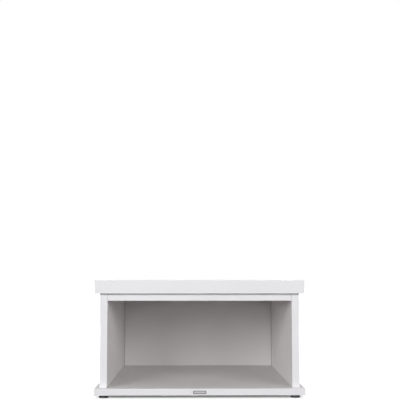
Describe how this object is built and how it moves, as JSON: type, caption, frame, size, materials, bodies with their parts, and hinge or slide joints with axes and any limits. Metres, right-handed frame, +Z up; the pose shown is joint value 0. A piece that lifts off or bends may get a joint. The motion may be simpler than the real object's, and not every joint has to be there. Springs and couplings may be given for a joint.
{
  "type": "laundry pedestal",
  "caption": "Open-fronted white board cabinet with a rimmed deck that lifts a laundry machine, a bay for a basket below, and screw-in levelling feet.",
  "frame": {"origin": "on the floor under the middle of the pedestal", "axes": "+Z up, +X to the right as seen from the open front, the front faces -Y"},
  "size_m": [0.63, 0.6, 0.352],
  "materials": {
    "faced_board": "white melamine face on chipboard, satin",
    "edge_band": "white plastic edge band, satin",
    "beech_dowel": "fluted beech",
    "zinc_plated_steel": "zinc plated",
    "zinc_casting": "die cast, dull",
    "white_plastic": "moulded, satin",
    "black_plastic": "moulded, satin",
    "foot_steel": "zinc plated, threaded"
  },
  "bodies": {
    "carcass": {"bottom_board": "faced_board", "left_side_panel": "faced_board", "right_side_panel": "faced_board", "inner_top_panel": "faced_board", "back_panel": "faced_board", "deck_board": "faced_board", "front_rim_board": "faced_board", "rear_rim_board": "faced_board", "left_rim_board": "faced_board", "right_rim_board": "faced_board", "bottom_board_edge_bands": "edge_band", "left_side_edge_bands": "edge_band", "right_side_edge_bands": "edge_band", "inner_top_edge_bands": "edge_band", "back_panel_edge_bands": "edge_band", "front_rim_edge_bands": "edge_band", "rear_rim_edge_bands": "edge_band", "left_rim_edge_bands": "edge_band", "right_rim_edge_bands": "edge_band", "bottom_dowels": "beech_dowel", "inner_top_dowels": "beech_dowel", "rim_dowels": "beech_dowel", "rim_corner_dowels": "beech_dowel", "bottom_screws": "zinc_plated_steel", "back_panel_screws": "zinc_plated_steel", "deck_screws": "zinc_plated_steel", "cam_bolts": "zinc_plated_steel", "foot_inserts": "zinc_plated_steel", "cam_locks": "zinc_casting", "cam_caps": "white_plastic"},
    "front_left_foot": {"front_left_foot_base": "black_plastic"},
    "front_left_screw": {"front_left_foot_stem": "foot_steel"},
    "front_right_foot": {"front_right_foot_base": "black_plastic"},
    "front_right_screw": {"front_right_foot_stem": "foot_steel"},
    "rear_left_foot": {"rear_left_foot_base": "black_plastic"},
    "rear_left_screw": {"rear_left_foot_stem": "foot_steel"},
    "rear_right_foot": {"rear_right_foot_base": "black_plastic"},
    "rear_right_screw": {"rear_right_foot_stem": "foot_steel"}
  },
  "joints": [
    {"name": "front_left_height", "type": "slide", "parent": "carcass", "child": "front_left_foot", "axis": [0, 0, -1], "range_m": [0, 0.01]},
    {"name": "front_left_turn", "type": "hinge", "parent": "front_left_foot", "child": "front_left_screw", "pos_m": [-0.289, -0.272, 0.01], "axis": [0, 0, -1], "range_deg": [0, 2880]},
    {"name": "front_right_height", "type": "slide", "parent": "carcass", "child": "front_right_foot", "axis": [0, 0, -1], "range_m": [0, 0.01]},
    {"name": "front_right_turn", "type": "hinge", "parent": "front_right_foot", "child": "front_right_screw", "pos_m": [0.289, -0.272, 0.01], "axis": [0, 0, -1], "range_deg": [0, 2880]},
    {"name": "rear_left_height", "type": "slide", "parent": "carcass", "child": "rear_left_foot", "axis": [0, 0, -1], "range_m": [0, 0.01]},
    {"name": "rear_left_turn", "type": "hinge", "parent": "rear_left_foot", "child": "rear_left_screw", "pos_m": [-0.289, 0.272, 0.01], "axis": [0, 0, -1], "range_deg": [0, 2880]},
    {"name": "rear_right_height", "type": "slide", "parent": "carcass", "child": "rear_right_foot", "axis": [0, 0, -1], "range_m": [0, 0.01]},
    {"name": "rear_right_turn", "type": "hinge", "parent": "rear_right_foot", "child": "rear_right_screw", "pos_m": [0.289, 0.272, 0.01], "axis": [0, 0, -1], "range_deg": [0, 2880]}
  ],
  "couplings": [
    {"joint": "front_left_height", "follows": "front_left_turn", "m_per_rad": 0.00019894},
    {"joint": "front_right_height", "follows": "front_right_turn", "m_per_rad": 0.00019894},
    {"joint": "rear_left_height", "follows": "rear_left_turn", "m_per_rad": 0.00019894},
    {"joint": "rear_right_height", "follows": "rear_right_turn", "m_per_rad": 0.00019894}
  ]
}
